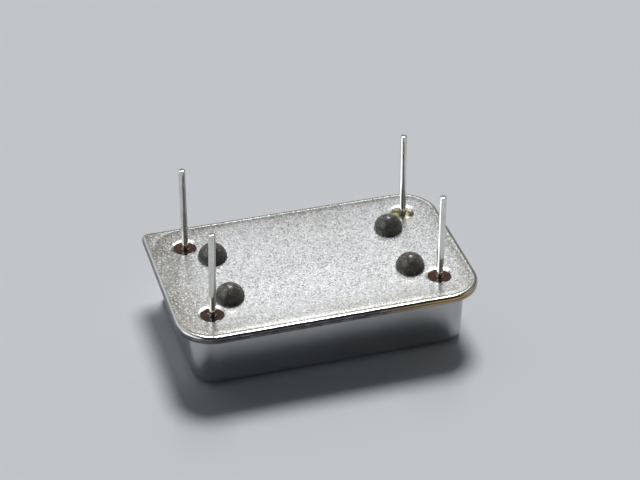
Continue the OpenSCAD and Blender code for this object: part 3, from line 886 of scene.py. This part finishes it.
def make_base_plate():
    """The plate: its face carried over an edge that rolls off as a quarter ellipse, down the side,
    in under the flange and down round the platform, with four lead holes and four bead dimples
    turned through it."""
    plate = Piece("base_plate_satin")
    ring_out = HOLE_R + DIP_REACH
    mouth_out = DIMPLE_R + MOUTH_BEVEL + GUARD
    face_inset = ROLL_IN + GUARD
    holes = [(at, ring_out) for at in lead_at.values()]
    holes += [(at, mouth_out) for at in bead_at.values()]
    plate.sheet(FLANGE_HALF - face_inset, FLANGE_RADII - face_inset, holes, PLATE_STEP,
                plate_height, (PRESS_HALF, PRESS_RADII, PRESS_ROWS))

    marks = edge_wobble(11)[:, None] * flange_normal
    shoulder = flange_loop - flange_normal * ROLL_IN
    shoulder_z = plate_height(*shoulder.T)
    guard = flange_loop - flange_normal * face_inset
    rows = [lifted(guard, plate_height(*guard.T))]
    for a in quarter(ROLL_STEPS):
        loop = shoulder + (flange_normal * ROLL_IN - marks) * math.sin(a)
        rows.append(lifted(loop, shoulder_z - ROLL_DOWN * (1 - math.cos(a))))
    edge = flange_loop - marks
    a = quarter(PLATE_SEAM_STEPS)
    rows += swept(edge, flange_normal, SEAM_ROUND * (np.cos(a) - 1),
                  SEAM_Z + SEAM_ROUND * (1 - np.sin(a)))
    inset, up = np.array(PLATFORM_BEVEL).T
    rows += swept(wall_loop, wall_normal, [-PLATFORM_INSET, *(-PLATFORM_INSET - inset)],
                  [SEAM_Z, *(PLATFORM_Z + up)])
    plate.grid(rows)
    inner_inset = PLATFORM_INSET + inset[-1]
    plate.sheet(WALL_HALF - inner_inset, WALL_RADII - inner_inset,
                [(at, HOLE_R + BORE_BEVEL) for at in lead_at.values()], HIDDEN_STEP,
                lambda x, y: np.full(x.shape, PLATFORM_Z))

    a = quarter(RIM_STEPS)
    for centre in lead_at.values():
        rim = on_plate(centre, np.concatenate([
            np.linspace(ring_out, HOLE_R + RIM_WIDTH, DIP_ROWS)[:-1],
            HOLE_R + RIM_WIDTH * (1 - np.sin(a)),
        ]))
        rim[-len(a):, :, 2] -= (RIM_DEPTH * (1 - np.cos(a)))[:, None]
        bore = turned(centre, [HOLE_R, HOLE_R, HOLE_R + BORE_BEVEL],
                      [OUTER_Z - 2 * RIM_DEPTH, PLATFORM_Z + BORE_BEVEL, PLATFORM_Z])
        plate.grid(np.concatenate([rim, bore]))
    floor_z = OUTER_Z - DIMPLE_DEPTH
    for centre in bead_at.values():
        mouth = on_plate(centre, [mouth_out, DIMPLE_R + MOUTH_BEVEL, DIMPLE_R])
        mouth[2, :, 2] -= MOUTH_BEVEL
        cup = turned(centre, [DIMPLE_R, DIMPLE_R - FLOOR_BEVEL, 0],
                     [floor_z + FLOOR_BEVEL, floor_z, floor_z])
        plate.grid(np.concatenate([mouth, cup]))
    plate.make(plate_finish(), "plate_metal", "base_plate", plate_shades)


# ---- Cover ----


def make_cover():
    """The drawn cover as one shell: flat face, rounded edge, leaning wall, bend and flange on the
    outside, then back over the flange and down the inside. Its section is carried round the
    wall's outline, and the flange's edge round the flange's outline."""
    cover = Piece("can_cover_drawn")
    face_inset = COVER_DRAFT + COVER_EDGE_R
    face_half, face_radii = WALL_HALF - face_inset, WALL_RADII - face_inset

    def dished(level):
        """A face's height from a level, rising smoothly on the way in from the face's edge."""
        return lambda x, y: level + COVER_DISH * smooth_step(
            depth_inside(x, y, face_half, face_radii) / COVER_DISH_REACH
        )

    cover.sheet(face_half, face_radii, [], 2 * PLATE_STEP, dished(0.0))
    cover.sheet(face_half, face_radii, [], HIDDEN_STEP, dished(COVER_T))

    a = quarter(ROLL_STEPS)
    wall_share = np.linspace(0, 1, WALL_ROWS)[1:-1]
    bend = quarter(BEND_STEPS)
    outside = np.concatenate([
        np.stack([-face_inset + COVER_EDGE_R * np.sin(a), COVER_EDGE_R * (1 - np.cos(a))], -1),
        np.stack([-COVER_DRAFT * (1 - wall_share),
                  COVER_EDGE_R + (BEND_Z - COVER_EDGE_R) * wall_share], -1),
        np.stack([BEND_R * (1 - np.cos(bend)), BEND_Z + BEND_R * np.sin(bend)], -1),
    ])
    rows = []
    for x, z in outside:
        loop = lifted(wall_loop + wall_normal * x, z)
        free = smooth_step(z / WALL_RIPPLE_FREE)
        free = free * smooth_step((COVER_FLANGE_Z - z) / WALL_RIPPLE_FREE)
        waves = ripple(loop / [1, 1, WALL_RIPPLE_UPRIGHT], WALL_RIPPLE_LENGTH, seed=21)
        loop[:, :2] += wall_normal * (WALL_RIPPLE * free * waves)[:, None]
        rows.append(loop)
    edge = flange_loop - flange_normal * edge_wobble(31)[:, None]
    rise = SEAM_ROUND * (1 - np.cos(quarter(SEAM_STEPS)))
    inward = SEAM_ROUND * (np.sin(quarter(SEAM_STEPS)) - 1)
    rows += swept(edge, flange_normal, inward, COVER_FLANGE_Z + rise)
    rows += swept(edge, flange_normal, -rise, SEAM_Z + inward)
    outer_r, inner_r = BEND_R + COVER_T, COVER_EDGE_R - COVER_T
    bend, a = bend[::-1], a[::-1]
    rows += swept(wall_loop, wall_normal, BEND_R - outer_r * np.cos(bend),
                  BEND_Z + outer_r * np.sin(bend))
    rows += swept(wall_loop, wall_normal, inner_r * np.sin(a) - face_inset,
                  COVER_EDGE_R - inner_r * np.cos(a))
    cover.grid(rows)
    cover.make(cover_finish(), "cover_metal", "can_cover")


# ---- Leads, seals and beads ----

TIP_DOME = 0.09
TIP_STEPS = 10
SHAFT_ROWS = 20
SEALED_ROWS = 6
# How far each tip leans along x
LEAN = {"1": 0.0, "7": -0.11, "8": 0.0, "14": 0.12}
# A hole's filling: the rows of its face, its gap to the lead, and how deep its last row lies
FILL_ROWS = 26
FILL_GAP = 0.003
FILL_DEPTH = 0.3
# The glass of a seal: how deep it lies and how far it tilts and swells, and how deep it falls
# and how far that reaches at the lead and at the bore
SEAL_SUNK, SEAL_WAVE = 0.06, 0.006
AT_LEAD, AT_LEAD_REACH = 0.10, 0.055
AT_BORE, AT_BORE_REACH = 0.05, 0.04
# The braze: how deep it lies, how high it climbs the lead and how far from it, and its skin
BRAZE_SUNK, BRAZE_SKIN, BRAZE_SKIN_LENGTH = 0.09, 0.008, 0.3
CLIMB, CLIMB_REACH = 0.06, 0.05


def sealed_radius(z, plated_r):
    """Radius of a lead: bare below the seal, plated above it, and between them in the seal."""
    return CORE_R + (plated_r - CORE_R) * np.clip((z - PLATFORM_Z) / (OUTER_Z - PLATFORM_Z), 0, 1)


def make_lead(key, material):
    """A wire turned about its axis, with a low domed tip: over a quarter turn its radius grows
    with sin a to the power 0.55, and it drops with 1 less cos a to the power 0.8. It may lean a
    little outside the plate."""
    node = LEADS[key]
    low, high = span(node)
    plated_r = (high - low)[0] / 2
    a = quarter(TIP_STEPS)
    tip_r = plated_r * np.sin(a) ** 0.55
    tip_z = high[2] - TIP_DOME * (1 - np.cos(a).clip(0) ** 0.8)
    shaft_z = np.concatenate([
        np.linspace(high[2] - TIP_DOME, OUTER_Z, SHAFT_ROWS)[1:],
        np.linspace(OUTER_Z, PLATFORM_Z, SEALED_ROWS)[1:], [low[2] + END_CHAMFER],
    ])
    radius = np.concatenate([tip_r, sealed_radius(shaft_z, plated_r), [CORE_R - END_CHAMFER, 0]])
    height = np.concatenate([tip_z, shaft_z, [low[2], low[2]]])
    rows = turned(lead_at[key], radius, height, WIRE_TURNS)
    rows[..., 0] += LEAN[key] * np.clip((rows[..., 2] - OUTER_Z) / (high[2] - OUTER_Z), 0, 1)
    lead = Piece(node.replace("pin_", "lead_"))
    lead.grid(rows)
    lead.make(material, "pin_metal", node)


def filled_hole(name, key, top):
    """The filling of a lead hole: its upper face z = top(r, angle) from the lead to the bore, its
    outside down the bore and its lower face level with the platform."""
    centre = lead_at[key]
    inner = CORE_R + FILL_GAP
    radius = inner + (HOLE_R - inner) * smooth_step(np.linspace(0, 1, FILL_ROWS))
    face = turned(centre, radius, top(radius[:, None], full_turn(HOLE_TURNS)[None]))
    side = turned(centre, [HOLE_R, inner, inner],
                  [PLATFORM_Z, PLATFORM_Z, OUTER_Z - FILL_DEPTH])
    piece = Piece(name)
    piece.grid(np.concatenate([face, side, face[:1]]))
    return piece


def seal_top(seed):
    """A ring of glass, level between the lead and the bore and rounded off exponentially at both,
    which tilts and swells slowly round the lead."""
    rng = np.random.default_rng(seed)
    tilt, swell = rng.uniform(0, 2 * math.pi, 2)

    def top(r, angle):
        """Height at a distance from the lead and an angle round it."""
        level = OUTER_Z - SEAL_SUNK + SEAL_WAVE * np.cos(angle - tilt)
        level = level + SEAL_WAVE * np.cos(2 * angle - swell)
        level = level - AT_LEAD * np.exp(-(r - CORE_R) / AT_LEAD_REACH)
        return level - AT_BORE * np.exp(-(HOLE_R - r) / AT_BORE_REACH)

    return top


LUMPS = [
    # along x, along y, width, rise, share of silver, olive and red-brown
    (-0.52, 0.16, 0.24, 0.05, 0, 1, 0),
    (-0.37, 0.22, 0.10, 0.07, 0, 0.9, 0),
    (-0.13, -0.02, 0.20, 0.02, 0, 0.9, 0),
    (-0.35, -0.20, 0.24, 0.02, 0, 0.9, 0),
    (0.10, 0.52, 0.22, -0.03, 0, 0.7, 0),
    (0.30, -0.10, 0.13, 0.08, 1, 0, 0),
    (0.20, -0.42, 0.22, 0.03, 0.3, 0, 0),
    (0.62, 0.10, 0.13, -0.05, 0, 0, 1),
    (0.62, -0.14, 0.13, -0.06, 0, 0, 1),
    (0.50, -0.36, 0.11, -0.04, 0, 0, 1),
]


def lump(x, y, row):
    """How strongly a lump shows at an offset from the lead: a round bell."""
    return np.exp(-((x - row[0]) ** 2 + (y - row[1]) ** 2) / row[2] ** 2)


def braze_top(r, angle):
    """Braze that has run round the lead nearly level with the plate, with round lumps and
    hollows."""
    x, y = r * np.cos(angle), r * np.sin(angle)
    height = OUTER_Z - BRAZE_SUNK + CLIMB * np.exp(-(r - CORE_R) / CLIMB_REACH)
    for row in LUMPS:
        height = height + row[3] * lump(x, y, row)
    return height + BRAZE_SKIN * ripple(np.stack([x, y], -1), BRAZE_SKIN_LENGTH, seed=41)


def braze_shades(points):
    """Shares of silvery, olive and red-brown metal: 1.3 of the sum of the lumps that have them,
    less a tenth."""
    x, y = (points[:, :2] - lead_at["7"]).T
    return {
        label: smooth_step(1.3 * sum(row[at] * lump(x, y, row) for row in LUMPS) - 0.1)
        for label, at in [("silver", 4), ("olive", 5), ("brown", 6)]
    }


# A bead's skin: slow and fine waves, how far the foot sinks and flares, how high and how far it is
# ragged, what keeps the waves inside the bead's radius, and how far the dome sags
SKIN, SKIN_LENGTH = 0.010, 0.9
FINE_SKIN, FINE_SKIN_LENGTH = 0.0045, 0.28
FOOT_SUNK, FOOT_FLARE = 0.01, 1.015
RAGGED, RAGGED_LENGTH, RAGGED_UP = 0.028, 0.33, 0.25
SKIN_SHRINK, DOME_SAG = 0.012, 0.006


def make_bead(key, material, seed):
    """A glass bead: a dome with a faintly uneven skin whose foot spreads raggedly on the plate,
    and a stem that fills the dimple."""
    node = "standoff_bead_" + key
    low, high = span(node)
    radius = (high - low)[0] / 2
    middle_z = high[2] - radius
    a = quarter(DOME_STEPS)
    foot_z = plate_height(*bead_at[key]) - FOOT_SUNK
    r = np.concatenate([radius * np.sin(a), [radius, radius * FOOT_FLARE]])
    z = np.concatenate([middle_z + radius * np.cos(a), [(middle_z + foot_z) / 2, foot_z]])
    rows = turned(np.zeros(2), r, z, BEAD_TURNS)
    out = rows - np.array([0, 0, middle_z])
    skin = SKIN * ripple(out, SKIN_LENGTH, seed)
    skin = skin + FINE_SKIN * ripple(out, FINE_SKIN_LENGTH, seed + 1)
    low_down = smooth_step(1 - (z - foot_z) / RAGGED_UP)[:, None]
    ragged = RAGGED * low_down * ripple(out * [1, 1, 0], RAGGED_LENGTH, seed + 2)
    rows[..., :2] *= (1 + (skin - SKIN_SHRINK + ragged) / radius)[..., None]
    sag = DOME_SAG * (1 + ripple(out[:-2], SKIN_LENGTH, seed + 3)) / 2
    rows[:-2, :, 2] -= sag * np.cos(a)[:, None]
    rows[..., :2] += bead_at[key]
    stem = turned(bead_at[key], [DIMPLE_R, DIMPLE_R, DIMPLE_R - FLOOR_BEVEL, 0],
                  [foot_z, low[2] + FLOOR_BEVEL, low[2], low[2]], BEAD_TURNS)
    bead = Piece("bead_" + key)
    bead.grid(np.concatenate([rows, stem]))
    bead.make(material, "bead_glass", node)


make_base_plate()
make_cover()
wire_material = lead_finish()
glass_material = seal_finish()
bead_material = bead_finish()
for number, key in enumerate(LEADS):
    make_lead(key, wire_material)
    make_bead(key, bead_material, seed=100 + 10 * number)
    if key == "7":
        ring = filled_hole("braze_7", key, braze_top)
        ring.make(braze_finish(), "braze_metal", "ground_braze", braze_shades)
    else:
        ring = filled_hole("seal_" + key, key, seal_top(50 + number))
        ring.make(glass_material, "seal_glass", "glass_seal_" + key)


# ---- Finishes of the parts inside the case ----

METAL = {"Metallic": 1.0}
INNER = [
    # material slot, name, lighter tone, darker tone, roughness, scale of the grain, relief in
    # micrometres, plain values
    ("substrate_ceramic", "alumina", (0.88, 0.86, 0.81), (0.82, 0.80, 0.74),
     (0.5, 0.65), 9000.0, 3, {}),
    ("fired_silver", "thick_film_silver", (0.74, 0.72, 0.66), (0.62, 0.60, 0.54),
     (0.34, 0.5), 11000.0, 3, METAL),
    ("film_silver", "silver_film", (0.86, 0.85, 0.82), (0.80, 0.79, 0.75),
     (0.08, 0.16), 6000.0, 0.4, METAL),
    ("quartz", "lapped_quartz", (0.95, 0.97, 0.98), (0.90, 0.93, 0.95),
     (0.03, 0.1), 7000.0, 0.6, {"Transmission_Weight": 0.9, "IOR": 1.54}),
    ("clip_metal", "spring_strip", (0.70, 0.68, 0.62), (0.60, 0.58, 0.52),
     (0.22, 0.34), 8000.0, 1, METAL),
    ("silver_adhesive", "silver_epoxy", (0.60, 0.59, 0.56), (0.46, 0.45, 0.42),
     (0.45, 0.65), 14000.0, 6, {"Metallic": 0.5}),
    ("silicon", "silicon", (0.17, 0.19, 0.26), (0.12, 0.14, 0.20),
     (0.08, 0.16), 5000.0, 0.3, {"Metallic": 0.4, "Coat_Weight": 0.6}),
    ("gold_wire", "gold", (0.95, 0.72, 0.28), (0.86, 0.62, 0.22),
     (0.12, 0.22), 16000.0, 0.6, METAL),
    ("capacitor_ceramic", "fired_dielectric", (0.64, 0.50, 0.34), (0.54, 0.41, 0.27),
     (0.45, 0.6), 9000.0, 3, {}),
    ("terminal_tin", "plated_tin", (0.76, 0.76, 0.75), (0.66, 0.66, 0.65),
     (0.24, 0.36), 8000.0, 2, METAL),
    ("solder", "solder", (0.70, 0.71, 0.72), (0.60, 0.61, 0.62),
     (0.14, 0.26), 5000.0, 2, METAL),
]
finish_of = {slot: inner_finish(*row) for slot, *row in INNER}
slot_of = {row["node"]: row["material_slot"] for row in frame["record"]["subparts"]}
for name, node in frame["nodes"].items():
    if slot_of[name] in finish_of:
        node.material_slots[0].material = finish_of[slot_of[name]]
